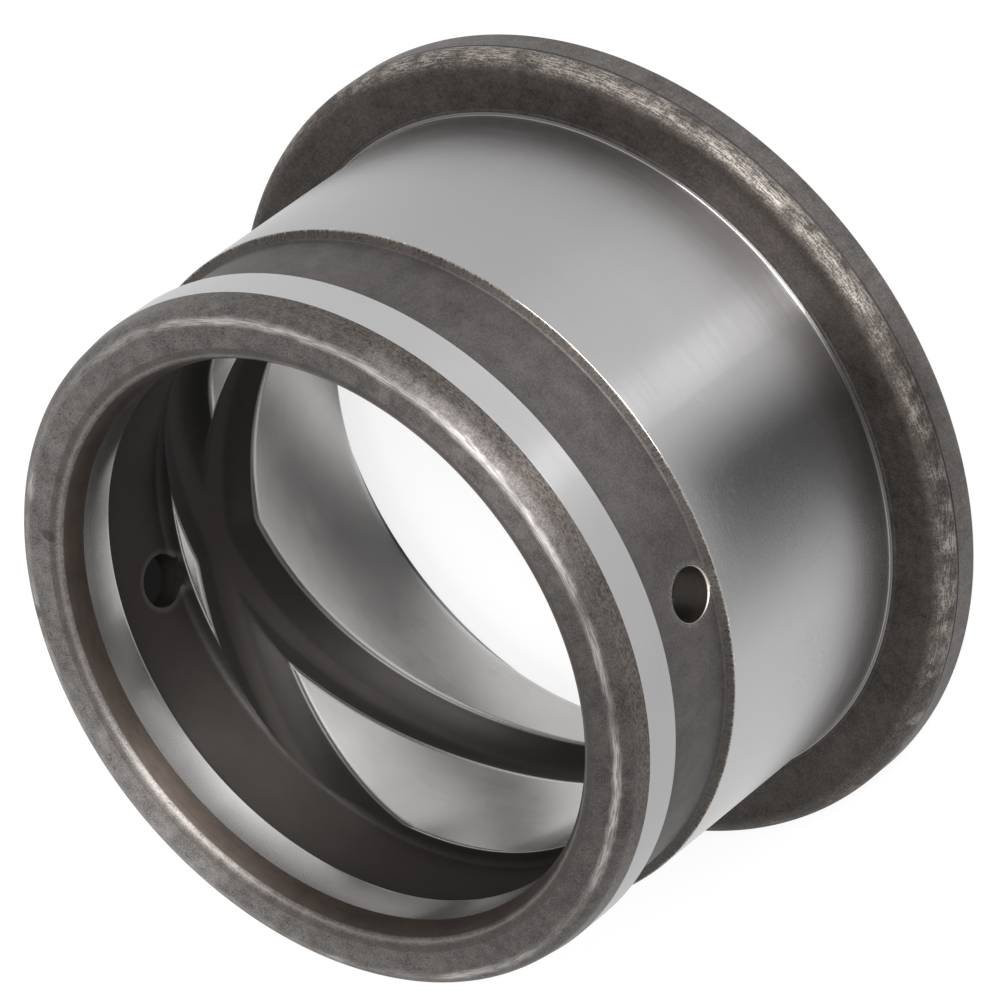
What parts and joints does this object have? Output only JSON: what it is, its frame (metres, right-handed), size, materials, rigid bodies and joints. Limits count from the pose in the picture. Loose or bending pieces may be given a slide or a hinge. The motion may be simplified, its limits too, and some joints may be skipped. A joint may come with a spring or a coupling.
{
  "type": "flanged bushing",
  "caption": "Flanged steel bushing with a bored journal, crossing oil grooves inside, and an outer ring groove fed through radial oil holes.",
  "frame": {"origin": "centre of the flange's back face, which the bushing stands on", "axes": "+Z along the bore axis from the flange towards the small front end, +X through an oil hole"},
  "size_m": [0.1, 0.1, 0.057],
  "materials": {
    "steel": "ground on the barrel and in the bore, dark and scaly on the flange, the ends and in the grooves"
  },
  "bodies": {
    "root": {"bushing": "steel"}
  },
  "joints": []
}
